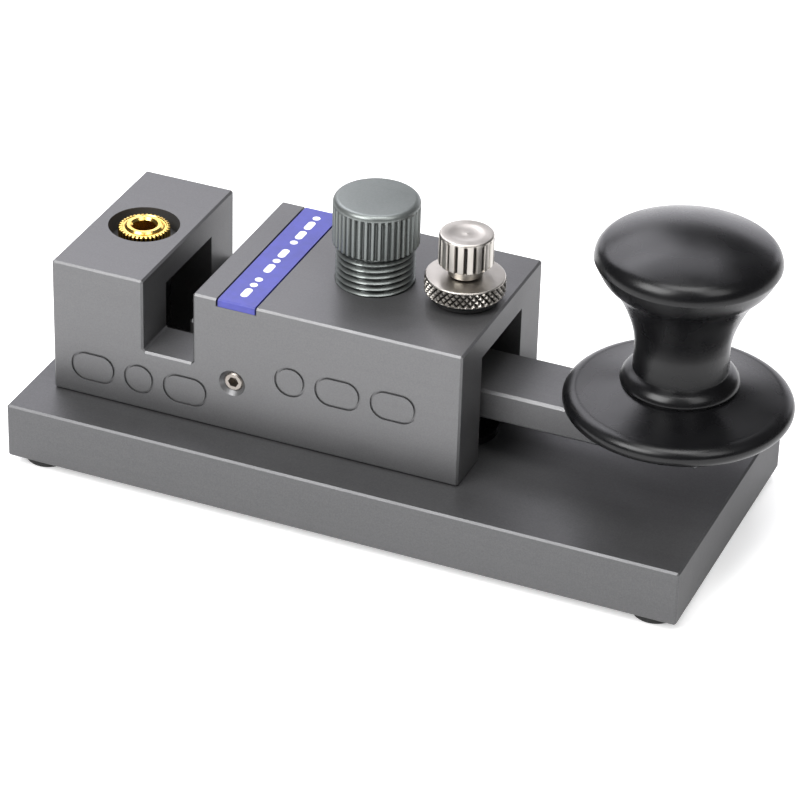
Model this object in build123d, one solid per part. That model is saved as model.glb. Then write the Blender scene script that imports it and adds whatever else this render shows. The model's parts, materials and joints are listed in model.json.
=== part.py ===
from build123d import *
import math
import os

# A magnetic straight key for Morse code. Every size is in millimetres.
# The key is laid out from its base: x runs from the rear (socket) end of the base towards the
# knob, y is 0 on the centreline with the engraved side at -y, and z is 0 on the base's top face.
# The row frame's origin is the centre of the whole key's footprint, on the surface it stands on.

# ---- base, feet and body block
BASE_LENGTH = 108.0
BASE_WIDTH = 47.5
BASE_THICKNESS = 9.0
EDGE_BREAK = 0.3
FOOT_RADIUS = 3.5
FOOT_HEIGHT = 1.6
FOOT_INSET = 4.6

BODY_REAR = 4.2
BODY_FRONT = 70.7
BODY_WIDTH = 32.0
BODY_HEIGHT = 22.2
CHANNEL_WIDTH = 16.0
CHANNEL_HEIGHT = 17.9
CHANNEL_REAR = 7.2
SLOT_REAR = 19.3
SLOT_FRONT = 27.6
SLOT_FLOOR = 10.2

BODY_SCREW_X = (11.75, 60.0)
BODY_SCREW_Y = 12.0
BODY_SCREW_RADIUS = 1.5
BODY_SCREW_HEAD_RADIUS = 2.9
BODY_SCREW_REACH = 6.0
SCREW_CLEARANCE = 0.1
THREAD_CLEARANCE = 0.02

# ---- engraved dot and dash pattern, label groove and label
ENGRAVING_DEPTH = 0.3
ENGRAVING_LINE = 0.4
ENGRAVING_HEIGHT = 5.0
DASH_LENGTH = 7.4
MARK_GAP = 1.5
ENGRAVINGS = ((7.2, 5.2, "-.-"), (41.0, 11.0, ".--"))
LABEL_X = 34.7
LABEL_GROOVE_WIDTH = 6.6
LABEL_WIDTH = 6.0
LABEL_THICKNESS = 1.2

# ---- pivot and lever
PIVOT_X = 34.1
PIVOT_Z = 8.4
PIVOT_SCREW_RADIUS = 1.5
PIVOT_SCREW_FACE = 15.6
PIVOT_SCREW_SHOULDER = 8.4
PIVOT_POINT_RADIUS = 1.0
PIVOT_POINT_END = 3.7
PIVOT_CLEARANCE = 0.05
PIVOT_COUNTERSINK_RADIUS = 2.15
BUSH_RADIUS = 1.6
BUSH_LENGTH = 2.6
HEX_SOCKET_FLATS = 1.5
HEX_SOCKET_DEPTH = 1.6

LEVER_REAR = 22.2
LEVER_FRONT = 104.0
LEVER_WIDTH = 12.0
LEVER_BOTTOM = 6.2
LEVER_TOP = 11.2
LEVER_CHAMFER = 0.4

# ---- key knob, its brass insert and its screw
KNOB_X = 98.6
KNOB_BOTTOM = 12.05
SKIRT_RADIUS = 17.05
SKIRT_THICKNESS = 3.1
SKIRT_RIM_Z = 13.55
SKIRT_TOP_ROUND = 2.2
SKIRT_BOTTOM_ROUND = 1.6
BEAD_RADIUS = 8.85
SKIRT_RISE = 1.75
NECK_RADIUS = 7.08
BALL_RADIUS = 13.63
BALL_WIDEST_Z = 37.0
BALL_TOP_Z = 42.1
BALL_EDGE_RADIUS = 2.7
INSERT_RADIUS = 4.0
INSERT_FLANGE_RADIUS = 6.0
INSERT_TOP = 25.0
KNOB_SCREW_RADIUS = 2.0
KNOB_SCREW_HEAD_RADIUS = 3.8
KNOB_SCREW_TOP = 21.0

# ---- contacts
CONTACT_X = 64.5
CONTACT_GAP = 0.4
LEVER_CONTACT_RADIUS = 1.5
LEVER_CONTACT_PROUD = 0.7
LEVER_CONTACT_STEM_RADIUS = 1.0
POST_RADIUS = 3.0
POST_FACE_RADIUS = 1.8
POST_SHANK_RADIUS = 1.5
INSULATOR_RADIUS = 6.0
INSULATOR_FLANGE = 1.2
INSULATOR_SLEEVE_RADIUS = 2.5
TAG_THICKNESS = 0.4
TAG_RADIUS = 3.2
CONTACT_RECESS_RADIUS = 5.2
CONTACT_RECESS_DEPTH = 4.0
CONTACT_WASHER_RADIUS = 4.8
CONTACT_WASHER_THICKNESS = 0.6
CONTACT_NUT_FLATS = 5.5
CONTACT_NUT_HEIGHT = 2.2

# ---- magnetic tension: knob on an M12 x 1 thread, with a disc magnet in its end
TENSION_X = 50.1
TENSION_PITCH = 1.0
TENSION_RADIUS = 6.0
TENSION_BOTTOM = 16.5
TENSION_CAP_RADIUS = 6.55
TENSION_CAP_BOTTOM = 28.5
TENSION_CAP_TOP = 35.95
TENSION_CAP_ROUND = 0.9
TENSION_RIBS = 40
TENSION_RIB_DEPTH = 0.4
MAGNET_RADIUS = 4.0
MAGNET_THICKNESS = 3.0
GLUE_GAP = 0.02

# ---- gap adjustment: M3 thumbscrew, contact tip, knurled lock nut and its rubber ring
GAP_PITCH = 0.5
GAP_RADIUS = 1.5
GAP_SCREW_BOTTOM = 11.8
GAP_TIP_RADIUS = 0.9
GAP_TIP_BOTTOM = 11.23
GAP_TIP_TOP = 13.4
GAP_COLLAR_RADIUS = 2.65
GAP_COLLAR_BOTTOM = 26.6
GAP_HEAD_RADIUS = 4.1
GAP_HEAD_BOTTOM = 28.3
GAP_HEAD_TOP = 33.35
GAP_HEAD_RIBS = 18
GAP_HEAD_RIB_DEPTH = 0.45
GAP_DISH_RADIUS = 2.5
GAP_DISH_DEPTH = 0.15
LOCK_NUT_RADIUS = 6.1
LOCK_NUT_BOTTOM = 23.5
LOCK_NUT_TOP = 26.4
LOCK_NUT_CHAMFER = 0.4
RING_SECTION_RADIUS = 0.65
RING_CENTRE_RADIUS = 4.4

# ---- 3.5 mm jack socket, its nut, terminals and wiring
JACK_X = 11.75
JACK_COUNTERBORE_RADIUS = 5.5
JACK_COUNTERBORE_DEPTH = 2.8
JACK_NOSE_RADIUS = 2.95
JACK_NOSE_TOP = 22.3
JACK_MOUTH_BREAK = 0.35
JACK_NOSE_BOTTOM = 10.0
JACK_BORE_RADIUS = 1.8
JACK_HOUSING_RADIUS = 4.0
JACK_HOUSING_BOTTOM = 5.9
JACK_NUT_RADIUS = 4.0
JACK_NUT_THICKNESS = 2.6
JACK_NUT_TEETH = 36
JACK_TOOTH_DEPTH = 0.22
TERMINAL_OFFSET = 2.2
TERMINAL_WIDTH = 1.8
TERMINAL_THICKNESS = 0.4
TERMINAL_BOTTOM = 2.9
WIRE_RADIUS = 0.6
GROUND_LUG_X = 20.6
GROUND_LUG_Y = 5.0
GROUND_SCREW_RADIUS = 1.25

# ---- the row frame, worked out from the sizes above
OVERALL_LENGTH = KNOB_X + SKIRT_RADIUS
STANDING_DEPTH = BASE_THICKNESS + FOOT_HEIGHT
ROW_FRAME = Pos(-OVERALL_LENGTH / 2, 0, STANDING_DEPTH)


def post(radius, low, high, x=0.0, y=0.0):
    """An upright cylinder between two heights."""
    height = high - low
    return Pos(x, y, low + height / 2) * Cylinder(radius, height)


def block(low, high):
    """A box between two opposite corners."""
    size = [b - a for a, b in zip(low, high)]
    middle = [(a + b) / 2 for a, b in zip(low, high)]
    return Pos(*middle) * Box(*size)


def cross_pin(radius, y_from, y_to):
    """A cylinder along y on the pivot axis."""
    length = abs(y_to - y_from)
    place = Pos(PIVOT_X, (y_from + y_to) / 2, PIVOT_Z) * Rot(90, 0, 0)
    return place * Cylinder(radius, length)


def turned(points, x=0.0, y=0.0):
    """A solid of revolution about a vertical axis, from its half outline of (radius, z)."""
    outline = Polyline(*[(radius, 0, z) for radius, z in points], close=True)
    return Pos(x, y, 0) * revolve(make_face(outline), Axis.Z)


def quarter_round(radius, top, size):
    """Points round the upper outer corner of a turned piece, from its side to its top."""
    centre = (radius - size, top - size)
    angles = [math.pi * step / 12 for step in range(7)]
    return [(centre[0] + size * math.cos(a), centre[1] + size * math.sin(a)) for a in angles]


def thread_outline(radius, depth, pitch, low, high):
    """The crests and roots of a thread from low to high, as (radius, z) points."""
    turns = int((high - low) / pitch)
    points = []
    for turn in range(turns):
        root_z = low + turn * pitch
        points.append((radius - depth, root_z + 0.1 * pitch))
        points.append((radius, root_z + 0.45 * pitch))
        points.append((radius, root_z + 0.65 * pitch))
    points.append((radius - depth, low + turns * pitch))
    return points


def ring_of_grooves(count, radius, depth, low, high, x):
    """Upright grooves cut around a knob, one prism turned to each place."""
    groove = Rot(0, 0, 45) * Box(depth * 1.414, depth * 1.414, high - low)
    grooves = []
    for turn in range(count):
        place = Pos(x, 0, (low + high) / 2) * Rot(0, 0, 360 * turn / count) * Pos(radius, 0, 0)
        grooves.append(place * groove)
    return grooves


def wire(points):
    """A round wire along straight runs joined by tangent arcs."""
    radii = []
    for before, corner, after in zip(points, points[1:], points[2:]):
        run_in = Vector(corner) - Vector(before)
        run_out = Vector(after) - Vector(corner)
        turn = math.radians(run_in.get_angle(run_out))
        shorter = min(run_in.length, run_out.length)
        radii.append(0.45 * shorter / math.tan(turn / 2))
    print("wire bend radii", [round(radius, 1) for radius in radii])
    path = FilletPolyline(*points, radius=radii)
    start = Vector(points[0])
    section = Plane(origin=start, z_dir=Vector(points[1]) - start) * Circle(WIRE_RADIUS)
    return sweep(section, path)


def make_base_plate():
    plate = block((0, -BASE_WIDTH / 2, -BASE_THICKNESS), (BASE_LENGTH, BASE_WIDTH / 2, 0))
    plate = chamfer(plate.edges(), EDGE_BREAK)
    for x in BODY_SCREW_X:
        for y in (-BODY_SCREW_Y, BODY_SCREW_Y):
            plate -= turned(body_screw_outline(SCREW_CLEARANCE, 1.0), x, y)
    plate -= post(INSULATOR_SLEEVE_RADIUS + THREAD_CLEARANCE, -BASE_THICKNESS - 1, 1, CONTACT_X)
    recess_top = -BASE_THICKNESS + CONTACT_RECESS_DEPTH
    plate -= post(CONTACT_RECESS_RADIUS, -BASE_THICKNESS - 1, recess_top, CONTACT_X)
    plate -= post(GROUND_SCREW_RADIUS + THREAD_CLEARANCE, -5, 1, GROUND_LUG_X, GROUND_LUG_Y)
    return plate


def body_screw_outline(gap, beyond):
    """Half outline of a countersunk screw, or of the hole for it when gap is added."""
    head = BODY_SCREW_HEAD_RADIUS + gap
    shank = BODY_SCREW_RADIUS + gap
    low = -BASE_THICKNESS
    cone_top = low + 0.2 + BODY_SCREW_HEAD_RADIUS - BODY_SCREW_RADIUS
    top = BODY_SCREW_REACH + beyond
    return [(0, low), (head, low), (head, low + 0.2), (shank, cone_top), (shank, top), (0, top)]


def make_body_screws():
    screws = []
    for x in BODY_SCREW_X:
        for y in (-BODY_SCREW_Y, BODY_SCREW_Y):
            screw = turned(body_screw_outline(0, 0), x, y)
            socket = extrude(RegularPolygon(1.0, 6, major_radius=False), 1.2)
            screws.append(screw - Pos(x, y, -BASE_THICKNESS) * socket)
    return Compound(screws)


def make_rubber_feet():
    feet = []
    for x in (FOOT_INSET, BASE_LENGTH - FOOT_INSET):
        for y in (-BASE_WIDTH / 2 + FOOT_INSET, BASE_WIDTH / 2 - FOOT_INSET):
            foot = post(FOOT_RADIUS, -STANDING_DEPTH, -BASE_THICKNESS, x, y)
            feet.append(fillet(foot.edges().sort_by(Axis.Z)[0], 0.5))
    return Compound(feet)


def engraved_marks():
    """Grooves round the outlines of the dots and dashes on the front face."""
    half = BODY_WIDTH / 2
    marks = []
    for x, z, pattern in ENGRAVINGS:
        left = x
        for sign in pattern:
            length = DASH_LENGTH if sign == "-" else ENGRAVING_HEIGHT
            inner = (length - 2 * ENGRAVING_LINE, ENGRAVING_HEIGHT - 2 * ENGRAVING_LINE)
            shape = RectangleRounded(length, ENGRAVING_HEIGHT, ENGRAVING_HEIGHT / 2 - 0.1)
            shape -= RectangleRounded(*inner, inner[1] / 2 - 0.1)
            place = Pos(left + length / 2, -half + ENGRAVING_DEPTH, z) * Rot(90, 0, 0)
            marks.append(place * extrude(shape, ENGRAVING_DEPTH + 1))
            left += length + MARK_GAP
    return marks


def make_body_block():
    half = BODY_WIDTH / 2
    side = Polyline(
        (BODY_REAR, 0), (BODY_FRONT, 0), (BODY_FRONT, BODY_HEIGHT), (SLOT_FRONT, BODY_HEIGHT),
        (SLOT_FRONT, SLOT_FLOOR), (SLOT_REAR, SLOT_FLOOR), (SLOT_REAR, BODY_HEIGHT),
        (BODY_REAR, BODY_HEIGHT), close=True)
    body = Pos(0, half, 0) * extrude(make_face(Plane.XZ * side), BODY_WIDTH)
    body = chamfer(body.edges(), EDGE_BREAK)
    channel_half = CHANNEL_WIDTH / 2
    body -= block((CHANNEL_REAR, -channel_half, -1), (BODY_FRONT + 1, channel_half, CHANNEL_HEIGHT))
    # socket hole with its counterbore, magnet knob hole and thumbscrew hole in the roof
    ledge = BODY_HEIGHT - JACK_COUNTERBORE_DEPTH
    body -= post(JACK_COUNTERBORE_RADIUS, ledge, BODY_HEIGHT + 1, JACK_X)
    body -= post(JACK_NOSE_RADIUS + PIVOT_CLEARANCE, 10, BODY_HEIGHT, JACK_X)
    body -= post(TENSION_RADIUS + PIVOT_CLEARANCE, 10, BODY_HEIGHT + 1, TENSION_X)
    body -= post(GAP_RADIUS + PIVOT_CLEARANCE, 10, BODY_HEIGHT + 1, CONTACT_X)
    groove_half = LABEL_GROOVE_WIDTH / 2
    body -= block((LABEL_X - groove_half, -half - 1, BODY_HEIGHT - LABEL_THICKNESS),
                  (LABEL_X + groove_half, half + 1, BODY_HEIGHT + 1))
    for side in (-1, 1):
        body -= cross_pin(PIVOT_SCREW_RADIUS + THREAD_CLEARANCE, side * (half + 1), side * 5)
        depth = PIVOT_COUNTERSINK_RADIUS - PIVOT_SCREW_RADIUS
        cone = Cone(PIVOT_SCREW_RADIUS, PIVOT_COUNTERSINK_RADIUS, depth)
        body -= Pos(PIVOT_X, side * (half - depth / 2), PIVOT_Z) * Rot(-90 * side, 0, 0) * cone
    for x in BODY_SCREW_X:
        for y in (-BODY_SCREW_Y, BODY_SCREW_Y):
            body -= post(BODY_SCREW_RADIUS + THREAD_CLEARANCE, -1, BODY_SCREW_REACH + 1, x, y)
    for mark in engraved_marks():
        body -= mark
    return body


def make_label_plate():
    half_length = BODY_WIDTH / 2 - 0.05
    half_width = LABEL_WIDTH / 2
    plate = block((LABEL_X - half_width, -half_length, BODY_HEIGHT - LABEL_THICKNESS),
                  (LABEL_X + half_width, half_length, BODY_HEIGHT))
    ends = plate.edges().filter_by(Axis.X).group_by(Axis.Z)[-1]
    return fillet(ends, 0.4)


def make_pivot_screw(side):
    face = side * PIVOT_SCREW_FACE
    shoulder = side * PIVOT_SCREW_SHOULDER
    screw = cross_pin(PIVOT_SCREW_RADIUS, face, shoulder)
    screw = chamfer(screw.edges().sort_by(Axis.Y)[-1 if side > 0 else 0], 0.2)
    screw += cross_pin(PIVOT_POINT_RADIUS, shoulder, side * PIVOT_POINT_END)
    socket = extrude(RegularPolygon(HEX_SOCKET_FLATS / 2, 6, major_radius=False), HEX_SOCKET_DEPTH)
    return screw - Pos(PIVOT_X, face, PIVOT_Z) * Rot(90 * side, 0, 0) * socket


def make_pivot_bush(side):
    outer = side * LEVER_WIDTH / 2
    inner = outer - side * BUSH_LENGTH
    bush = cross_pin(BUSH_RADIUS, outer, inner)
    return bush - cross_pin(PIVOT_POINT_RADIUS + PIVOT_CLEARANCE, outer, inner)


def make_lever_arm():
    half = LEVER_WIDTH / 2
    arm = block((LEVER_REAR, -half, LEVER_BOTTOM), (LEVER_FRONT, half, LEVER_TOP))
    arm = chamfer(arm.edges(), LEVER_CHAMFER)
    for side in (-1, 1):
        arm -= cross_pin(BUSH_RADIUS, side * (half + 1), side * (half - BUSH_LENGTH))
    pocket = LEVER_TOP - MAGNET_THICKNESS
    arm -= post(MAGNET_RADIUS + GLUE_GAP, pocket, LEVER_TOP + 1, TENSION_X)
    arm -= post(LEVER_CONTACT_STEM_RADIUS, LEVER_BOTTOM - 1, LEVER_BOTTOM + 2, CONTACT_X)
    arm -= post(KNOB_SCREW_RADIUS + SCREW_CLEARANCE, LEVER_BOTTOM - 1, LEVER_TOP + 1, KNOB_X)
    head = KNOB_SCREW_HEAD_RADIUS + SCREW_CLEARANCE
    depth = head - KNOB_SCREW_RADIUS
    sink = Cone(head, KNOB_SCREW_RADIUS, depth)
    return arm - Pos(KNOB_X, 0, LEVER_BOTTOM + depth / 2) * sink


def make_lever_magnet():
    disc = post(MAGNET_RADIUS, LEVER_TOP - MAGNET_THICKNESS, LEVER_TOP, TENSION_X)
    return chamfer(disc.edges().sort_by(Axis.Z)[-1], 0.2)


def make_lever_contact():
    """A domed silver rivet in the underside of the lever."""
    low = LEVER_BOTTOM - LEVER_CONTACT_PROUD
    dome_radius = (LEVER_CONTACT_RADIUS**2 + LEVER_CONTACT_PROUD**2) / (2 * LEVER_CONTACT_PROUD)
    ball = Pos(CONTACT_X, 0, low + dome_radius) * Sphere(dome_radius)
    rivet = ball & post(LEVER_CONTACT_RADIUS + 1, low - 1, LEVER_BOTTOM, CONTACT_X)
    return rivet + post(LEVER_CONTACT_STEM_RADIUS, LEVER_BOTTOM, LEVER_BOTTOM + 2, CONTACT_X)


def ball_crown():
    """The ball's upper half outline: an edge arc and a broad crown arc, tangent to each other."""
    height = BALL_TOP_Z - BALL_WIDEST_Z
    reach = BALL_RADIUS - BALL_EDGE_RADIUS
    crown = (reach**2 + height**2 - BALL_EDGE_RADIUS**2) / (2 * (height - BALL_EDGE_RADIUS))
    lean = math.atan2(crown - height, reach)
    meet = (reach + BALL_EDGE_RADIUS * math.cos(lean), BALL_WIDEST_Z + BALL_EDGE_RADIUS * math.sin(lean))
    edge_mid = (reach + BALL_EDGE_RADIUS * math.cos(lean / 2),
                BALL_WIDEST_Z + BALL_EDGE_RADIUS * math.sin(lean / 2))
    half = (lean + math.pi / 2) / 2
    crown_mid = (crown * math.cos(half), BALL_TOP_Z - crown + crown * math.sin(half))
    edge = ThreePointArc((BALL_RADIUS, BALL_WIDEST_Z), edge_mid, meet)
    return edge + ThreePointArc(meet, crown_mid, (0, BALL_TOP_Z))


def make_key_knob():
    """The turned knob: round-edged skirt, bead, waisted neck and a flattened ball."""
    skirt_top = KNOB_BOTTOM + SKIRT_THICKNESS
    rim = (SKIRT_RADIUS, SKIRT_RIM_Z)
    under = (SKIRT_RADIUS - SKIRT_BOTTOM_ROUND, KNOB_BOTTOM)
    over = (SKIRT_RADIUS - SKIRT_TOP_ROUND, skirt_top)
    bead_low = skirt_top + SKIRT_RISE
    bead_top = (NECK_RADIUS + 0.27, bead_low + 2.4)
    bore = INSERT_RADIUS + GLUE_GAP
    bore_top = INSERT_TOP + GLUE_GAP
    outline = Line((bore, KNOB_BOTTOM), under)
    outline += Spline(under, rim, tangents=((1.0, 0.0), (0.0, 1.0)))
    outline += Spline(rim, over, tangents=((0.0, 1.0), (-1.0, 0.1)))
    outline += Line(over, (BEAD_RADIUS, bead_low))
    outline += ThreePointArc((BEAD_RADIUS, bead_low), (BEAD_RADIUS - 0.5, bead_low + 1.5), bead_top)
    # the neck is parallel to about mid height, then flares into the underside of the ball
    outline += Spline(
        bead_top, (NECK_RADIUS, 21.5), (NECK_RADIUS + 0.02, 24.0), (7.7, 26.8), (9.05, 30.1),
        (10.5, 32.5), (12.3, 34.5), (BALL_RADIUS, BALL_WIDEST_Z),
        tangents=((-0.3, 1.0), (0.0, 1.0)))
    outline += ball_crown()
    outline += Polyline((0, BALL_TOP_Z), (0, bore_top), (bore, bore_top), (bore, KNOB_BOTTOM))
    return Pos(KNOB_X, 0, 0) * revolve(make_face(Plane.XZ * outline), Axis.Z)


def make_knob_insert():
    insert = post(INSERT_FLANGE_RADIUS, LEVER_TOP, KNOB_BOTTOM, KNOB_X)
    insert += post(INSERT_RADIUS, KNOB_BOTTOM, INSERT_TOP, KNOB_X)
    return insert - post(KNOB_SCREW_RADIUS + THREAD_CLEARANCE, LEVER_TOP - 1, KNOB_SCREW_TOP + 1, KNOB_X)


def make_knob_screw():
    head = KNOB_SCREW_HEAD_RADIUS
    shank = KNOB_SCREW_RADIUS
    low = LEVER_BOTTOM + 0.05
    cone_top = low + head - shank
    points = [(0, low), (head, low), (shank, cone_top), (shank, KNOB_SCREW_TOP), (0, KNOB_SCREW_TOP)]
    socket = extrude(RegularPolygon(1.25, 6, major_radius=False), 2.0)
    return turned(points, KNOB_X) - Pos(KNOB_X, 0, low) * socket


def make_contact_insulator():
    sleeve_low = -BASE_THICKNESS + CONTACT_RECESS_DEPTH
    bush = post(INSULATOR_RADIUS, 0, INSULATOR_FLANGE, CONTACT_X)
    bush += post(INSULATOR_SLEEVE_RADIUS, sleeve_low, 0, CONTACT_X)
    return bush - post(POST_SHANK_RADIUS + THREAD_CLEARANCE, sleeve_low - 1, 2, CONTACT_X)


def make_contact_tag():
    """A solder tag clamped under the post, its tail towards the socket."""
    top = INSULATOR_FLANGE + TAG_THICKNESS
    tag = post(TAG_RADIUS, INSULATOR_FLANGE, top, CONTACT_X)
    tag += block((CONTACT_X - 8.5, -1.1, INSULATOR_FLANGE), (CONTACT_X - 2, 1.1, top))
    return tag - post(POST_SHANK_RADIUS + THREAD_CLEARANCE, 0, 2, CONTACT_X)


def make_contact_post():
    foot = INSULATOR_FLANGE + TAG_THICKNESS
    top = LEVER_BOTTOM - LEVER_CONTACT_PROUD - CONTACT_GAP
    low = -BASE_THICKNESS + 0.8
    return turned([(0, low), (POST_SHANK_RADIUS, low), (POST_SHANK_RADIUS, foot),
                   (POST_RADIUS, foot), (POST_RADIUS, foot + 1.6), (POST_RADIUS - 0.4, foot + 2.0),
                   (POST_FACE_RADIUS, foot + 2.0), (POST_FACE_RADIUS, top - 0.15),
                   (POST_FACE_RADIUS - 0.15, top), (0, top)], CONTACT_X)


def make_contact_washer():
    top = -BASE_THICKNESS + CONTACT_RECESS_DEPTH
    low = top - CONTACT_WASHER_THICKNESS
    ring = post(CONTACT_WASHER_RADIUS, low, top, CONTACT_X)
    return ring - post(POST_SHANK_RADIUS + THREAD_CLEARANCE, low - 1, top + 1, CONTACT_X)


def make_contact_nut():
    top = -BASE_THICKNESS + CONTACT_RECESS_DEPTH - CONTACT_WASHER_THICKNESS
    low = top - CONTACT_NUT_HEIGHT
    hexagon = extrude(RegularPolygon(CONTACT_NUT_FLATS / 2, 6, major_radius=False), CONTACT_NUT_HEIGHT)
    nut = Pos(CONTACT_X, 0, low) * hexagon
    return nut - post(POST_SHANK_RADIUS + THREAD_CLEARANCE, low - 1, top + 1, CONTACT_X)


def make_tension_knob():
    """Ribbed cap on a threaded shank; the disc magnet sits in the shank's lower end."""
    neck_top = TENSION_CAP_BOTTOM
    points = [(0, TENSION_BOTTOM)]
    points += thread_outline(TENSION_RADIUS, 0.5, TENSION_PITCH, TENSION_BOTTOM, neck_top - 0.5)
    points += [(TENSION_RADIUS - 0.5, neck_top), (TENSION_CAP_RADIUS, neck_top)]
    points += quarter_round(TENSION_CAP_RADIUS, TENSION_CAP_TOP, TENSION_CAP_ROUND)
    points += [(0, TENSION_CAP_TOP)]
    knob = turned(points, TENSION_X)
    knob -= ring_of_grooves(TENSION_RIBS, TENSION_CAP_RADIUS, TENSION_RIB_DEPTH,
                            neck_top - 0.2, TENSION_CAP_TOP - TENSION_CAP_ROUND, TENSION_X)
    pocket_top = TENSION_BOTTOM + MAGNET_THICKNESS
    return knob - post(MAGNET_RADIUS + GLUE_GAP, TENSION_BOTTOM - 1, pocket_top, TENSION_X)


def make_tension_magnet():
    disc = post(MAGNET_RADIUS, TENSION_BOTTOM, TENSION_BOTTOM + MAGNET_THICKNESS, TENSION_X)
    return chamfer(disc.edges().sort_by(Axis.Z)[0], 0.2)


def make_gap_screw():
    """Thumbscrew: ribbed head with a dished top, collar and threaded shank."""
    points = [(0, GAP_SCREW_BOTTOM)]
    points += thread_outline(GAP_RADIUS, 0.25, GAP_PITCH, GAP_SCREW_BOTTOM, GAP_COLLAR_BOTTOM - 0.2)
    points += [(GAP_RADIUS - 0.25, GAP_COLLAR_BOTTOM), (GAP_COLLAR_RADIUS, GAP_COLLAR_BOTTOM),
               (GAP_COLLAR_RADIUS, GAP_HEAD_BOTTOM - 0.4), (GAP_HEAD_RADIUS - 0.4, GAP_HEAD_BOTTOM),
               (GAP_HEAD_RADIUS, GAP_HEAD_BOTTOM + 0.3), (GAP_HEAD_RADIUS, GAP_HEAD_TOP - 0.3),
               (GAP_HEAD_RADIUS - 0.3, GAP_HEAD_TOP), (GAP_DISH_RADIUS, GAP_HEAD_TOP),
               (GAP_DISH_RADIUS - 0.5, GAP_HEAD_TOP - GAP_DISH_DEPTH),
               (0, GAP_HEAD_TOP - GAP_DISH_DEPTH)]
    screw = turned(points, CONTACT_X)
    screw -= ring_of_grooves(GAP_HEAD_RIBS, GAP_HEAD_RADIUS, GAP_HEAD_RIB_DEPTH,
                             GAP_HEAD_BOTTOM - 0.2, GAP_HEAD_TOP - 0.35, CONTACT_X)
    return screw - post(GAP_TIP_RADIUS + GLUE_GAP, GAP_SCREW_BOTTOM - 1, GAP_TIP_TOP, CONTACT_X)


def make_gap_screw_tip():
    tip = post(GAP_TIP_RADIUS, GAP_TIP_BOTTOM, GAP_TIP_TOP, CONTACT_X)
    return chamfer(tip.edges().sort_by(Axis.Z)[0], 0.2)


def make_lock_nut():
    bore = GAP_RADIUS + PIVOT_CLEARANCE
    bevel = LOCK_NUT_RADIUS - LOCK_NUT_CHAMFER
    return turned([(bore, LOCK_NUT_BOTTOM), (bevel, LOCK_NUT_BOTTOM),
                   (LOCK_NUT_RADIUS, LOCK_NUT_BOTTOM + LOCK_NUT_CHAMFER),
                   (LOCK_NUT_RADIUS, LOCK_NUT_TOP - LOCK_NUT_CHAMFER),
                   (bevel, LOCK_NUT_TOP), (bore, LOCK_NUT_TOP)], CONTACT_X)


def make_lock_nut_ring():
    centre_z = BODY_HEIGHT + RING_SECTION_RADIUS
    return Pos(CONTACT_X, 0, centre_z) * Torus(RING_CENTRE_RADIUS, RING_SECTION_RADIUS)


def make_jack_sleeve():
    sleeve = post(JACK_NOSE_RADIUS, JACK_NOSE_BOTTOM, JACK_NOSE_TOP, JACK_X)
    sleeve = chamfer(sleeve.edges().sort_by(Axis.Z)[-1], 0.3)
    sleeve -= post(JACK_BORE_RADIUS, JACK_NOSE_BOTTOM - 1, JACK_NOSE_TOP + 1, JACK_X)
    mouth = Cone(JACK_BORE_RADIUS, JACK_BORE_RADIUS + JACK_MOUTH_BREAK, JACK_MOUTH_BREAK)
    return sleeve - Pos(JACK_X, 0, JACK_NOSE_TOP - JACK_MOUTH_BREAK / 2) * mouth


def make_jack_nut():
    """Slim ring nut with a toothed rim, sunk in the counterbore."""
    low = BODY_HEIGHT - JACK_COUNTERBORE_DEPTH
    high = low + JACK_NUT_THICKNESS
    nut = post(JACK_NUT_RADIUS, low, high, JACK_X)
    nut = chamfer(nut.edges().sort_by(Axis.Z)[-1], 0.25)
    nut -= ring_of_grooves(JACK_NUT_TEETH, JACK_NUT_RADIUS, JACK_TOOTH_DEPTH, low - 0.2, high + 0.2,
                           JACK_X)
    return nut - post(JACK_NOSE_RADIUS + THREAD_CLEARANCE, low - 1, high + 1, JACK_X)


def make_jack_housing():
    low = JACK_HOUSING_BOTTOM
    housing = post(JACK_HOUSING_RADIUS, low, CHANNEL_HEIGHT, JACK_X)
    housing -= post(JACK_NOSE_RADIUS + THREAD_CLEARANCE, JACK_NOSE_BOTTOM, CHANNEL_HEIGHT + 1, JACK_X)
    housing -= post(JACK_NOSE_RADIUS - 0.3, low + 1, JACK_NOSE_BOTTOM, JACK_X)
    for side in (-1, 1):
        housing -= terminal_blade(side, low - 1, low + 2, 0.02)
    return housing


def terminal_blade(side, low, high, gap=0.0):
    x = JACK_X + side * TERMINAL_OFFSET
    half_thick = TERMINAL_THICKNESS / 2 + gap
    half_wide = TERMINAL_WIDTH / 2 + gap
    return block((x - half_thick, -half_wide, low), (x + half_thick, half_wide, high))


def make_jack_terminals():
    """Sleeve terminal at the rear and tip terminal at the front."""
    top = JACK_HOUSING_BOTTOM + 1.6
    return Compound([terminal_blade(side, TERMINAL_BOTTOM, top) for side in (-1, 1)])


def make_jack_tip_spring():
    """The leaf that presses on a plug's tip, standing on the tip terminal."""
    x = JACK_X + TERMINAL_OFFSET - 0.5
    low = JACK_HOUSING_BOTTOM + 1.6
    half_wide = TERMINAL_WIDTH / 2
    leaf = block((x - 0.15, -half_wide, low), (x + 0.15, half_wide, JACK_NOSE_BOTTOM - 0.2))
    foot = block((x - 0.15, -half_wide, low), (x + 0.7, half_wide, low + 0.3))
    return leaf + foot


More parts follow.
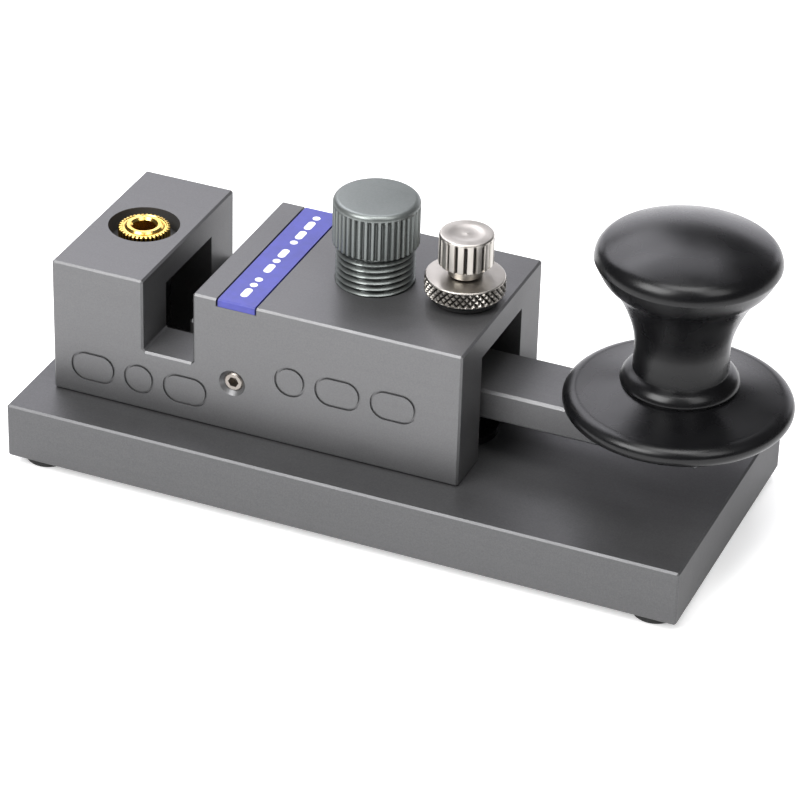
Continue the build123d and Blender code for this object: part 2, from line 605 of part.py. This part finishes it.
def make_signal_wire():
    """From the tip terminal along the channel floor to the contact's solder tag."""
    solder_z = INSULATOR_FLANGE + TAG_THICKNESS + WIRE_RADIUS + GLUE_GAP
    floor_z = WIRE_RADIUS + 0.3
    start_x = JACK_X + TERMINAL_OFFSET + TERMINAL_THICKNESS / 2 + WIRE_RADIUS + GLUE_GAP
    return wire([(start_x, 0, 4.4), (start_x + 1.2, -1.4, 2.2), (20.0, -4.0, floor_z),
                 (30.0, -5.0, floor_z), (42.0, -4.4, floor_z), (53.0, -1.4, solder_z),
                 (CONTACT_X - 5.0, 0, solder_z)])


def make_ground_wire():
    """From the sleeve terminal round the socket to the earth tag on the base."""
    start_x = JACK_X - TERMINAL_OFFSET - TERMINAL_THICKNESS / 2 - WIRE_RADIUS - GLUE_GAP
    lug_top = TAG_THICKNESS
    return wire([(start_x, 0.4, 4.6), (start_x + 0.3, 2.0, 2.6), (start_x + 3.4, 4.6, 1.6),
                 (GROUND_LUG_X - 6.0, 5.4, lug_top + WIRE_RADIUS + 0.3),
                 (GROUND_LUG_X - 3.2, GROUND_LUG_Y, lug_top + WIRE_RADIUS + GLUE_GAP)])


def make_ground_lug():
    lug = post(2.6, 0, TAG_THICKNESS, GROUND_LUG_X, GROUND_LUG_Y)
    lug += block((GROUND_LUG_X - 5.5, GROUND_LUG_Y - 1, 0),
                 (GROUND_LUG_X - 1.5, GROUND_LUG_Y + 1, TAG_THICKNESS))
    return lug - post(GROUND_SCREW_RADIUS + THREAD_CLEARANCE, -1, 1, GROUND_LUG_X, GROUND_LUG_Y)


def make_ground_screw():
    low = TAG_THICKNESS
    head = 2.2
    screw = turned([(0, -4.5), (GROUND_SCREW_RADIUS, -4.5), (GROUND_SCREW_RADIUS, low), (head, low),
                    (head, low + 1.1), (head - 0.5, low + 1.6), (0, low + 1.6)],
                   GROUND_LUG_X, GROUND_LUG_Y)
    slot = block((-3, -0.3, low + 0.9), (3, 0.3, low + 2))
    for angle in (20, 110):
        screw -= Pos(GROUND_LUG_X, GROUND_LUG_Y, 0) * Rot(0, 0, angle) * slot
    return screw


parts = {
    "base_plate": make_base_plate(),
    "rubber_feet": make_rubber_feet(),
    "body_block": make_body_block(),
    "body_screws": make_body_screws(),
    "label_plate": make_label_plate(),
    "pivot_screw_front": make_pivot_screw(-1),
    "pivot_screw_rear": make_pivot_screw(1),
    "pivot_bush_front": make_pivot_bush(-1),
    "pivot_bush_rear": make_pivot_bush(1),
    "lever_arm": make_lever_arm(),
    "lever_magnet": make_lever_magnet(),
    "lever_contact": make_lever_contact(),
    "key_knob": make_key_knob(),
    "knob_insert": make_knob_insert(),
    "knob_screw": make_knob_screw(),
    "contact_insulator": make_contact_insulator(),
    "contact_tag": make_contact_tag(),
    "contact_post": make_contact_post(),
    "contact_washer": make_contact_washer(),
    "contact_nut": make_contact_nut(),
    "tension_knob": make_tension_knob(),
    "tension_magnet": make_tension_magnet(),
    "gap_screw": make_gap_screw(),
    "gap_screw_tip": make_gap_screw_tip(),
    "lock_nut": make_lock_nut(),
    "lock_nut_ring": make_lock_nut_ring(),
    "jack_sleeve": make_jack_sleeve(),
    "jack_nut": make_jack_nut(),
    "jack_housing": make_jack_housing(),
    "jack_terminals": make_jack_terminals(),
    "jack_tip_spring": make_jack_tip_spring(),
    "signal_wire": make_signal_wire(),
    "ground_wire": make_ground_wire(),
    "ground_lug": make_ground_lug(),
    "ground_screw": make_ground_screw(),
}

os.makedirs("parts", exist_ok=True)
for name, shape in parts.items():
    export_step(ROW_FRAME * shape, f"parts/{name}.step")
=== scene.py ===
import json
import math

import bmesh
import bpy
from mathutils import Matrix, Vector


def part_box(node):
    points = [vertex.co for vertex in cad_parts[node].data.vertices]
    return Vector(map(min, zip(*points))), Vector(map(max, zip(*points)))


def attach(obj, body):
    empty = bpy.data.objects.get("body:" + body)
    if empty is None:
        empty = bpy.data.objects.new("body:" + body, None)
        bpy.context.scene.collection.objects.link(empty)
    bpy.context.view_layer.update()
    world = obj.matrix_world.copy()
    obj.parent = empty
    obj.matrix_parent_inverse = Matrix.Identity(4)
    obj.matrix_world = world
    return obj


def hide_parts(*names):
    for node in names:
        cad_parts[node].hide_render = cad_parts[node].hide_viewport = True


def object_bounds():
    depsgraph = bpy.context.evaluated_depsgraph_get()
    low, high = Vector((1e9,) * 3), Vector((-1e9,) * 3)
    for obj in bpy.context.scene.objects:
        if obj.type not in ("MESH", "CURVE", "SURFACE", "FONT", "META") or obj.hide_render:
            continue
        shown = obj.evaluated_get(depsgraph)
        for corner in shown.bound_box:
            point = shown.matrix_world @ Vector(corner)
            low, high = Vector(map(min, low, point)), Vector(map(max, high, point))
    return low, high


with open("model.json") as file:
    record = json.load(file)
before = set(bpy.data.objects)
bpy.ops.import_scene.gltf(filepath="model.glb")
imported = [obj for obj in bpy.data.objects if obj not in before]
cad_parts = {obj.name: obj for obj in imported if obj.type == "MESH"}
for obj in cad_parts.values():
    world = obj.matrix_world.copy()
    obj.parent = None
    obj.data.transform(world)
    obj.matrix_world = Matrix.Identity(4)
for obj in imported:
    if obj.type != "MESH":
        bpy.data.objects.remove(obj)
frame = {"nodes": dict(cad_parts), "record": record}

# The looks of a magnetic straight key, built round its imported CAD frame. Lengths are in metres,
# in the row frame: +X from the socket to the knob, +Z up, and the feet stand on z = 0.
MM = 0.001
CAD_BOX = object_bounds()
NODES = frame["nodes"]


def box_centre(node):
    low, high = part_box(node)
    return (low + high) / 2


# ---------------------------------------------------------------- camera, floor and lights

# the camera looks down on the engraved side, from a little towards the knob's end
CAMERA_AZIMUTH = math.radians(22.12)
CAMERA_ELEVATION = math.radians(31.35)
CAMERA_ROLL = math.radians(1.70)
CAMERA_DISTANCE = 0.63926
CAMERA_TARGET = Vector((-0.026545, 0.057593, -0.025212))
CAMERA_LENS = 168.17


def direction(azimuth, elevation):
    """The unit vector from the object towards a place round it."""
    flat = math.cos(elevation)
    return Vector((math.sin(azimuth) * flat, -math.cos(azimuth) * flat, math.sin(elevation)))


def make_camera():
    data = bpy.data.cameras.new("camera")
    data.lens = CAMERA_LENS
    data.sensor_width = 36.0
    camera = bpy.data.objects.new("camera", data)
    back = direction(CAMERA_AZIMUTH, CAMERA_ELEVATION)
    level = Vector((0, 0, 1)).cross(back).normalized()
    upright = back.cross(level)
    right = math.cos(CAMERA_ROLL) * level + math.sin(CAMERA_ROLL) * upright
    up = back.cross(right)
    camera.matrix_world = Matrix.Translation(CAMERA_TARGET + back * CAMERA_DISTANCE) @ Matrix(
        (right, up, back)).transposed().to_4x4()
    bpy.context.scene.collection.objects.link(camera)
    bpy.context.scene.camera = camera


def softbox(name, azimuth, elevation, distance, width, height, power, tint=(1, 1, 1)):
    """A large area light aimed at the object's middle."""
    data = bpy.data.lights.new(name, "AREA")
    data.shape = "RECTANGLE"
    data.size = width
    data.size_y = height
    data.energy = power
    data.color = tint
    light = bpy.data.objects.new(name, data)
    aim = (CAD_BOX[0] + CAD_BOX[1]) / 2
    towards = direction(math.radians(azimuth), math.radians(elevation))
    light.location = aim + towards * distance
    light.rotation_mode = "QUATERNION"
    light.rotation_quaternion = (-towards).to_track_quat("-Z", "Y")
    bpy.context.scene.collection.objects.link(light)


def make_floor():
    """A plain white table top that glows a little, so that it stays pale in the key's shade."""
    reach = 3.0
    mesh = bpy.data.meshes.new("floor")
    corners = [(-reach, -reach, 0), (reach, -reach, 0), (reach, reach, 0), (-reach, reach, 0)]
    mesh.from_pydata(corners, [], [(0, 1, 2, 3)])
    floor = bpy.data.objects.new("floor", mesh)
    bpy.context.scene.collection.objects.link(floor)
    look = new_look("floor_white", {"Base Color": (0.92, 0.92, 0.92, 1), "Roughness": 0.9,
                                    "Emission Color": (1, 1, 1, 1), "Emission Strength": 0.45})
    mesh.materials.append(look)


def make_studio():
    """Three lights from the camera's side, and three behind for the tops' reflections."""
    world = bpy.data.worlds.new("studio")
    world.use_nodes = True
    world.node_tree.nodes["Background"].inputs["Color"].default_value = (1.0, 1.0, 1.0, 1)
    world.node_tree.nodes["Background"].inputs["Strength"].default_value = 0.08
    bpy.context.scene.world = world
    bpy.context.scene.view_settings.view_transform = "Standard"
    softbox("left_light", -25, 45, 0.9, 0.5, 0.5, 8.0)
    softbox("right_light", 62, 50, 0.9, 0.35, 0.5, 2.0)
    softbox("top_light", 20, 80, 0.9, 0.5, 0.4, 4.0)
    softbox("over_light", 205, 62, 0.8, 0.6, 0.3, 1.8, (0.95, 0.94, 1.0))
    softbox("sweep", 196, 11, 0.9, 1.5, 0.38, 3.2, (0.95, 0.94, 1.0))
    softbox("side_light", 228, 43, 0.8, 0.55, 0.42, 2.5, (0.95, 0.94, 1.0))


# ---------------------------------------------------------------- material helpers

def new_look(name, values):
    """A new Principled material with these socket values."""
    look = bpy.data.materials.new(name)
    look.use_nodes = True
    shader = look.node_tree.nodes["Principled BSDF"]
    for socket, value in values.items():
        shader.inputs[socket].default_value = value
    return look


def add_node(look, kind, inputs, **settings):
    """Adds a shader node; an input is a number, or an output of another node to link."""
    made = look.node_tree.nodes.new("ShaderNode" + kind)
    for key, value in settings.items():
        setattr(made, key, value)
    for key, value in inputs.items():
        if isinstance(value, bpy.types.NodeSocket):
            look.node_tree.links.new(value, made.inputs[key])
        else:
            made.inputs[key].default_value = value
    return made


def to_shader(look, socket, output):
    shader = look.node_tree.nodes["Principled BSDF"]
    look.node_tree.links.new(output, shader.inputs[socket])


def noise(look, scale, detail=2.0, stretch=(1, 1, 1)):
    """A noise value from 0 to 1 over the piece; scale is in features per metre."""
    place = add_node(look, "TexCoord", {}).outputs["Object"]
    mapped = add_node(look, "Mapping", {"Vector": place, "Scale": stretch})
    texture = add_node(look, "TexNoise", {"Vector": mapped.outputs["Vector"], "Scale": scale,
                                          "Detail": detail})
    return texture.outputs["Fac"]


def spread(look, value, low, high):
    """Maps the middle of a noise value onto low to high."""
    ranged = add_node(look, "MapRange", {"Value": value, "From Min": 0.3, "From Max": 0.7,
                                         "To Min": low, "To Max": high})
    return ranged.outputs["Result"]


def blend_colours(look, factor, first, second):
    mixed = add_node(look, "Mix", {0: factor, 6: (*first, 1), 7: (*second, 1)}, data_type="RGBA")
    return mixed.outputs[2]


def paint_groove_shade(look, colour, darkest):
    """The colour, falling towards a share of itself in a turned piece's grooves: painted shade in the
    recesses.
    """
    groove = add_node(look, "Attribute", {}, attribute_name="groove").outputs["Fac"]
    shade = add_node(look, "MapRange", {"Value": groove, "From Min": 0.15, "From Max": 0.9,
                                        "To Min": 1.0, "To Max": darkest})
    scaled = add_node(look, "VectorMath", {0: colour, "Scale": shade.outputs["Result"]}, operation="SCALE")
    return scaled.outputs["Vector"]


def add_bump(look, height, depth, strength=1.0):
    bump = add_node(look, "Bump", {"Height": height, "Distance": depth, "Strength": strength})
    to_shader(look, "Normal", bump.outputs["Normal"])


# ---------------------------------------------------------------- materials

def blasted_anodising(name, dark, light, roughness):
    """Bead-blasted, dyed and sealed aluminium: fine grain over faint milling lines."""
    look = new_look(name, {"Metallic": 0.75, "Specular IOR Level": 0.4,
                           "Specular Tint": (0.6, 0.6, 0.6, 1)})
    grain = noise(look, 4200, 2.0)
    cloud = noise(look, 90, 3.0)
    lines = noise(look, 1100, 2.0, stretch=(0.03, 1, 1))
    tone = add_node(look, "Mix", {0: 0.35, 2: grain, 3: cloud}, data_type="FLOAT").outputs[0]
    tone = add_node(look, "Mix", {0: 0.12, 2: tone, 3: lines}, data_type="FLOAT").outputs[0]
    colour = blend_colours(look, spread(look, tone, 0, 1), dark, light)
    # painted shade: the grooves of turned pieces darken to 30 % of the colour
    to_shader(look, "Base Color", paint_groove_shade(look, colour, 0.3))
    to_shader(look, "Roughness", spread(look, cloud, roughness - 0.04, roughness + 0.04))
    relief = add_node(look, "Mix", {0: 0.3, 2: grain, 3: lines}, data_type="FLOAT").outputs[0]
    add_bump(look, relief, 0.012 * MM, 0.5)
    return look


def turned_metal(name, dark, light, roughness, ring_scale=9000):
    """Lathe-turned metal with faint concentric tool marks, slight tarnish, and painted shade in its
    grooves.
    """
    look = new_look(name, {"Metallic": 1.0})
    cloud = noise(look, 250, 2.0)
    marks = noise(look, ring_scale, 1.0, stretch=(0.05, 0.05, 1))
    colour = blend_colours(look, spread(look, cloud, 0, 1), dark, light)
    # painted shade: the grooves of turned pieces darken to 8 % of the colour
    to_shader(look, "Base Color", paint_groove_shade(look, colour, 0.08))
    to_shader(look, "Roughness", spread(look, cloud, roughness - 0.03, roughness + 0.03))
    add_bump(look, marks, 0.001 * MM, 0.3)
    return look


def polished_plastic(name, colour, roughness):
    """Turned and buffed plastic with the slightest orange peel."""
    look = new_look(name, {"Specular IOR Level": 0.33})
    cloud = noise(look, 160, 2.0)
    peel = noise(look, 1500, 2.0)
    lighter = tuple(1.25 * part + 0.002 for part in colour)
    to_shader(look, "Base Color", blend_colours(look, spread(look, cloud, 0, 1), colour, lighter))
    to_shader(look, "Roughness", spread(look, cloud, roughness - 0.03, roughness + 0.04))
    add_bump(look, peel, 0.004 * MM, 0.4)
    return look


def matt_material(name, dark, light, roughness, scale=2500):
    """Rubber, nylon, wire insulation and printed coats."""
    look = new_look(name, {"Specular IOR Level": 0.4})
    grain = noise(look, scale, 3.0)
    to_shader(look, "Base Color", blend_colours(look, spread(look, grain, 0, 1), dark, light))
    to_shader(look, "Roughness", spread(look, grain, roughness - 0.05, roughness + 0.05))
    add_bump(look, grain, 0.01 * MM, 0.4)
    return look


LOOKS = {
    "anodised_grey": blasted_anodising("anodised_grey", (0.135, 0.135, 0.137), (0.17, 0.17, 0.173), 0.44),
    # painted shade: a darker copy of anodised_grey for the base plate
    "anodised_base_painted_shade": blasted_anodising("anodised_base_painted_shade", (0.095, 0.095, 0.097), (0.125, 0.125, 0.128), 0.44),
    "anodised_green_grey": blasted_anodising(
        "anodised_green_grey", (0.17, 0.185, 0.18), (0.21, 0.225, 0.218), 0.36),
    "steel": turned_metal("steel", (0.43, 0.405, 0.37), (0.52, 0.495, 0.46), 0.34),
    "dull_steel": turned_metal("dull_steel", (0.26, 0.235, 0.21), (0.36, 0.33, 0.30), 0.38),
    "gold": turned_metal("gold", (0.84, 0.55, 0.12), (0.94, 0.66, 0.20), 0.2),
    "brass": turned_metal("brass", (0.62, 0.45, 0.18), (0.76, 0.58, 0.28), 0.28),
    "silver": turned_metal("silver", (0.74, 0.74, 0.72), (0.86, 0.86, 0.84), 0.25),
    "magnet": turned_metal("magnet", (0.60, 0.60, 0.60), (0.72, 0.72, 0.72), 0.18),
    "blue_label": matt_material("blue_label", (0.05, 0.055, 0.27), (0.065, 0.07, 0.34), 0.42, 900),
    "black_plastic": polished_plastic("black_plastic", (0.0035, 0.0035, 0.004), 0.27),
    "black_rubber": matt_material("black_rubber", (0.012, 0.012, 0.012), (0.025, 0.025, 0.025), 0.75),
    "nylon": matt_material("nylon", (0.62, 0.61, 0.57), (0.70, 0.69, 0.65), 0.5),
    "wire_red": matt_material("wire_red", (0.45, 0.02, 0.02), (0.55, 0.04, 0.03), 0.4),
    "wire_black": matt_material("wire_black", (0.012, 0.012, 0.012), (0.02, 0.02, 0.02), 0.4),
    "white_print": matt_material("white_print", (0.80, 0.80, 0.82), (0.90, 0.90, 0.92), 0.45, 900),
}


# the base is a darker copy of the body's anodising, as painted shade, and the bought screws are duller than
# the turned steel
OWN_LOOKS = {
    "base_plate": "anodised_base_painted_shade",
    "pivot_screw_front": "dull_steel",
    "pivot_screw_rear": "dull_steel",
    "knob_screw": "dull_steel",
    "body_screws": "dull_steel",
}


def paint_cad_nodes():
    """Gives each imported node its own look, or else the look of its material slot."""
    for part in frame["record"]["subparts"]:
        node = part["node"]
        for slot in NODES[node].material_slots:
            slot.material = LOOKS[OWN_LOOKS.get(node, part["material_slot"])]


# ---------------------------------------------------------------- mesh helpers

def add_piece(name, mesh, body, slot, replaced=(), crease=35):
    """Links a finished mesh as a piece that rides on a body and stands for CAD nodes."""
    mesh.shade_smooth()
    mesh.set_sharp_from_angle(angle=math.radians(crease))
    mesh.materials.append(LOOKS[slot])
    piece = bpy.data.objects.new(name, mesh)
    bpy.context.scene.collection.objects.link(piece)
    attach(piece, body)
    if replaced:
        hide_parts(*replaced)
    # the print is an extra on the label, so the record has no slot for it
    return piece


def subdivide(outline, step):
    """The same outline with points no further apart than step."""
    points = [outline[0]]
    for (r0, z0), (r1, z1) in zip(outline, outline[1:]):
        count = max(1, math.ceil(math.hypot(r1 - r0, z1 - z0) / step))
        for part in range(1, count + 1):
            share = part / count
            points.append((r0 + (r1 - r0) * share, z0 + (z1 - z0) * share))
    return points


def arc(centre, radius, start, end, count=8):
    """Points on an arc in the (radius, height) plane; angles in degrees from outward."""
    return ellipse_arc(centre, radius, radius, start, end, count)


def ellipse_arc(centre, wide, tall, start, end, count):
    """Points on part of an ellipse in the (radius, height) plane."""
    points = []
    for part in range(count + 1):
        angle = math.radians(start + (end - start) * part / count)
        points.append((centre[0] + wide * math.cos(angle), centre[1] + tall * math.sin(angle)))
    return points


def revolved(name, outline, axis, around, relief=None):
    """A mesh turned about a vertical axis. The outline is in millimetres, as (radius, height) above
    the axis point, and closes on the axis at both ends or on itself. relief(angle, radius,
    height) gives how far the surface is cut back there, and the mesh keeps that as its "groove"
    attribute, 1 in the deepest cut, which the materials use to paint shade into the grooves."""
    closed_ring = outline[0][0] > 1e-6
    mesh = bpy.data.meshes.new(name)
    work = bmesh.new()
    rows = []
    cuts = []
    for radius, height in outline:
        if radius < 1e-6:
            cuts.append(0.0)
            rows.append([work.verts.new((axis.x, axis.y, axis.z + height * MM))])
            continue
        row = []
        for turn in range(around):
            angle = 2 * math.pi * turn / around
            cut = relief(angle, radius, height) if relief else 0.0
            cuts.append(cut)
            reach = (radius - cut) * MM
            row.append(work.verts.new((axis.x + reach * math.cos(angle),
                                       axis.y + reach * math.sin(angle), axis.z + height * MM)))
        rows.append(row)
    pairs = list(zip(rows, rows[1:]))
    if closed_ring:
        pairs.append((rows[-1], rows[0]))
    for lower, upper in pairs:
        for turn in range(around):
            after = (turn + 1) % around
            if len(lower) == 1:
                work.faces.new((lower[0], upper[after], upper[turn]))
            elif len(upper) == 1:
                work.faces.new((lower[turn], lower[after], upper[0]))
            else:
                work.faces.new((lower[turn], lower[after], upper[after], upper[turn]))
    bmesh.ops.recalc_face_normals(work, faces=work.faces)
    work.to_mesh(mesh)
    work.free()
    # the cut depth drives the painted shade in the grooves
    if relief:
        deepest = max(cuts)
        groove = mesh.attributes.new("groove", "FLOAT", "POINT")
        groove.data.foreach_set("value", [cut / deepest for cut in cuts])
    return mesh


def zigzag(value):
    """1 at whole numbers, falling in a straight line to 0 half way between them."""
    return abs(2 * (value % 1.0) - 1)


# ---------------------------------------------------------------- pieces

def axis_at(node, z):
    """The vertical axis of a round node, at a height in the row frame."""
    middle = box_centre(node)
    return Vector((middle.x, middle.y, z))


def spline_through(points, samples):
    """A smooth Catmull-Rom curve through points, with this many samples a span."""
    padded = [points[0], *points, points[-1]]
    curve = []
    for p0, p1, p2, p3 in zip(padded, padded[1:], padded[2:], padded[3:]):
        for part in range(samples):
            t = part / samples
            curve.append(tuple(
                0.5 * (2 * b + (c - a) * t + (2 * a - 5 * b + 4 * c - d) * t**2
                       + (3 * b - a - 3 * c + d) * t**3)
                for a, b, c, d in zip(p0, p1, p2, p3)))
    curve.append(points[-1])
    return curve


def make_key_knob():
    """Skirt with a full round rim, bead, waisted neck and flattened ball, with the insert's bore."""
    low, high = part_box("key_knob")
    height = (high.z - low.z) / MM
    skirt = (high.x - low.x) / 2 / MM
    thick, rim_height, over_round, under_round = 3.1, 1.5, 2.2, 1.6
    bead, bead_low = 8.85, thick + 1.75
    ball, widest, edge = 13.63, height - 5.1, 2.7
    bore, bore_top = 4.02, 12.97
    outline = [(0, bore_top), (bore, bore_top), (bore, 0)]
    outline += ellipse_arc((skirt - under_round, rim_height), under_round, rim_height, -90, 0, 12)
    outline += ellipse_arc((skirt - over_round, rim_height), over_round, thick - rim_height, 0, 88, 16)[1:]
    outline += spline_through([(bead - 0.2, bead_low - 0.03), (bead - 0.03, bead_low + 0.25),
                               (bead - 0.03, bead_low + 0.6), (bead - 0.28, bead_low + 1.15),
                               (bead - 0.8, bead_low + 1.75), (7.3, bead_low + 2.25)], 5)
    flare = [(7.1, bead_low + 2.4), (7.03, 9.45), (7.08, 11.95), (7.7, 14.75), (9.05, 18.05),
             (10.5, 20.45), (12.3, 22.45), (ball, widest)]
    outline += spline_through(flare, 8)[:-1]
    # the ball's rounded edge runs into a broad crown, tangent to it
    rise = height - widest
    reach = ball - edge
    crown = (reach**2 + rise**2 - edge**2) / (2 * (rise - edge))
    lean = math.degrees(math.atan2(crown - rise, reach))
    outline += arc((reach, widest), edge, 0, lean, 10)
    outline += arc((0, height - crown), crown, lean, 90, 24)[1:-1] + [(0, height)]
    mesh = revolved("key_knob_turned", outline, axis_at("key_knob", low.z), 160)
    add_piece("key_knob_turned", mesh, "lever", "black_plastic", ["key_knob"], 40)


def thread_cut(angle, height, pitch, depth):
    """How far a right-hand V thread is cut back at an angle and height."""
    phase = height / pitch - angle / (2 * math.pi)
    return depth * min(1.0, max(0.0, 1.25 * (1 - zigzag(phase)) - 0.1))


def make_tension_knob():
    """Ribbed cap over a coarse threaded shank, with the magnet's pocket in its end."""
    low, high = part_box("tension_knob")
    tall = (high.z - low.z) / MM
    crest, root, pitch = 6.0, 5.5, 1.0
    shank_low, shank_end = 0.4, tall - 7.95
    cap, cap_low = 6.55, tall - 7.45
    ribs, groove, edge = 40, 0.42, 0.9
    rib_top, runout_length = tall - edge, 0.7
    pocket, pocket_depth = 4.02, 3.0
    outline = [(0, pocket_depth), (pocket, pocket_depth), (pocket, 0), (5.6, 0)]
    outline += subdivide([(crest, shank_low), (crest, shank_end)], pitch / 10)
    outline += [(root, shank_end + 0.1), (root, cap_low), (cap - 0.25, cap_low)]
    outline += arc((cap - 0.25, cap_low + 0.25), 0.25, -70, 0, 4)
    outline += subdivide([(cap, cap_low + 0.3), (cap, rib_top + 0.02)], 0.2)
    outline += arc((cap - edge, tall - edge), edge, 4, 90, 12)
    outline += [(3.0, tall), (0, tall)]

    def relief(angle, radius, height):
        if shank_low <= height <= shank_end and radius > 5.9:
            return thread_cut(angle, height, pitch, 0.55)
        if cap_low <= height <= rib_top and radius > 6.2:
            runout = max(0.0, height - (rib_top - runout_length)) / runout_length
            shallow = math.sqrt(max(0.0, 1 - runout**2))
            valley = min(1.0, max(0.0, (1 - zigzag(angle * ribs / (2 * math.pi))) * 1.9 - 0.6))
            return groove * shallow * valley
        return 0.0

    mesh = revolved("tension_knob_ribbed", outline, axis_at("tension_knob", low.z), 480, relief)
    add_piece("tension_knob_ribbed", mesh, "tension_knob", "anodised_green_grey", ["tension_knob"], 30)


def make_gap_screw():
    """Thumbscrew: threaded shank, collar, and a head with broad ribs and a dished top."""
    low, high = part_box("gap_screw")
    tall = (high.z - low.z) / MM
    head_low, head = tall - 5.05, 4.1
    collar_low, collar = tall - 6.75, 2.65
    ribs, groove = 18, 0.42
    crest, pitch = 1.5, 0.5
    thread_low, thread_high = 0.3, collar_low - 0.3
    pocket, pocket_depth = 0.92, 1.6
    outline = [(0, pocket_depth), (pocket, pocket_depth), (pocket, 0), (1.2, 0)]
    outline += subdivide([(crest, thread_low), (crest, thread_high)], pitch / 5)
    outline += [(1.25, collar_low - 0.2), (1.25, collar_low), (collar - 0.2, collar_low)]
    outline += arc((collar - 0.2, collar_low + 0.2), 0.2, -60, 0, 3)
    outline += [(collar, head_low - 0.5), (collar + 0.1, head_low - 0.35), (head - 0.3, head_low)]
    outline += subdivide([(head, head_low + 0.25), (head, tall - 0.45)], 0.25)
    outline += arc((head - 0.3, tall - 0.3), 0.3, 15, 90, 6)
    outline += [(2.8, tall), (2.45, tall - 0.03), (2.1, tall - 0.09), (1.5, tall - 0.14),
                (0.5, tall - 0.15), (0.25, tall - 0.11), (0, tall - 0.1)]

    def relief(angle, radius, height):
        if thread_low <= height <= thread_high and radius > 1.4:
            return thread_cut(angle, height, pitch, 0.25)
        if height > head_low - 0.01 and radius > 3.5:
            valley = min(1.0, max(0.0, (1 - zigzag(angle * ribs / (2 * math.pi))) * 3.2 - 1.9))
            below_edge = min(1.0, max(0.0, (tall - 0.35 - height) / 0.4))
            return groove * valley * below_edge * min(1.0, (radius - 3.5) / 0.4)
        return 0.0

    mesh = revolved("gap_screw_ribbed", outline, axis_at("gap_screw", low.z), 432, relief)
    add_piece("gap_screw_ribbed", mesh, "gap_screw", "steel", ["gap_screw"], 30)


def make_lock_nut():
    """Round nut with a diamond-knurled rim."""
    low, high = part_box("lock_nut")
    tall = (high.z - low.z) / MM
    radius, bore = 6.1, 1.55
    diamonds, lift, depth = 36, 1.15, 0.42
    knurl_low, knurl_high = 0.45, tall - 0.35
    outline = [(bore, 0.15), (bore + 0.15, 0), (radius - 0.55, 0), (radius - 0.15, 0.35)]
    outline += subdivide([(radius, knurl_low), (radius, knurl_high)], 0.066)
    outline += [(radius - 0.1, tall - 0.2)]
    outline += arc((radius - 0.3, tall - 0.2), 0.2, 10, 90, 5)
    outline += [(bore + 0.3, tall), (bore, tall - 0.25)]

    def relief(angle, reach, height):
        if reach < radius - 0.01:
            return 0.0
        turn = angle * diamonds / (2 * math.pi)
        pyramid = min(zigzag(turn + height / lift), zigzag(turn - height / lift))
        return depth * (1 - min(1.0, 1.25 * pyramid))

    mesh = revolved("lock_nut_knurled", outline, axis_at("lock_nut", low.z), 576, relief)
    add_piece("lock_nut_knurled", mesh, "lock_nut", "steel", ["lock_nut"], 25)


def make_jack_nut():
    """Ring nut of the socket with a toothed rim and a groove round the nose."""
    low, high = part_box("jack_nut")
    tall = (high.z - low.z) / MM
    rim, bore = 4.0, 2.97
    teeth, depth = 36, 0.24
    outline = [(bore, 0), (rim - 0.1, 0)]
    outline += subdivide([(rim, 0.1), (rim, tall - 0.35)], 0.4)
    outline += arc((rim - 0.3, tall - 0.3), 0.3, 10, 90, 5)
    outline += [(3.45, tall), (3.35, tall - 0.12), (3.15, tall - 0.14), (bore, tall - 0.1)]

    def relief(angle, radius, height):
        if radius < 3.6:
            return 0.0
        valley = min(1.0, max(0.0, (1 - zigzag(angle * teeth / (2 * math.pi))) * 3.0 - 1.3))
        return depth * valley * min(1.0, (radius - 3.6) / 0.15)

    mesh = revolved("jack_nut_toothed", outline, axis_at("jack_nut", low.z), 448, relief)
    add_piece("jack_nut_toothed", mesh, "frame", "gold", ["jack_nut"], 30)


def add_pill(work, centre, length, width, low, high, along):
    """Adds a round-ended mark, standing from low to high, to a bmesh."""
    across = Vector((-along.y, along.x, 0))
    half = length / 2 - width / 2
    rim = []
    for end in (1, -1):
        for part in range(13):
            angle = math.pi * (part / 12 - 0.5)
            reach = end * (half + math.cos(angle) * width / 2)
            rim.append(centre + along * reach + across * (end * math.sin(angle) * width / 2))
    bottom = [work.verts.new((p.x, p.y, low)) for p in rim]
    top = [work.verts.new((p.x, p.y, high)) for p in rim]
    work.faces.new(top)
    work.faces.new(list(reversed(bottom)))
    for first, second in zip(range(len(rim)), [*range(1, len(rim)), 0]):
        work.faces.new((bottom[first], bottom[second], top[second], top[first]))


def make_label_marks():
    """A printed row of dots and dashes along the blue strip."""
    low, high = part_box("label_plate")
    width = 1.2 * MM
    dash = 2.7 * MM
    gap = 0.6 * MM
    space = 0.6 * MM
    sunk, proud = 0.01 * MM, 0.02 * MM
    pattern = "-.. -.- .--."
    lengths = {"-": dash, ".": width, " ": space}
    whole = sum(lengths[sign] + gap for sign in pattern) - gap
    along = Vector((0, 1, 0))
    middle = (low + high) / 2
    left = middle.y - whole / 2
    work = bmesh.new()
    for sign in pattern:
        length = lengths[sign]
        if sign != " ":
            centre = Vector((middle.x, left + length / 2, 0))
            add_pill(work, centre, length, width, high.z - sunk, high.z + proud, along)
        left += length + gap
    bmesh.ops.recalc_face_normals(work, faces=work.faces)
    mesh = bpy.data.meshes.new("label_marks")
    work.to_mesh(mesh)
    work.free()
    add_piece("label_marks", mesh, "frame", "white_print")


paint_cad_nodes()
make_key_knob()
make_tension_knob()
make_gap_screw()
make_lock_nut()
make_jack_nut()
make_label_marks()
make_floor()
make_camera()
make_studio()
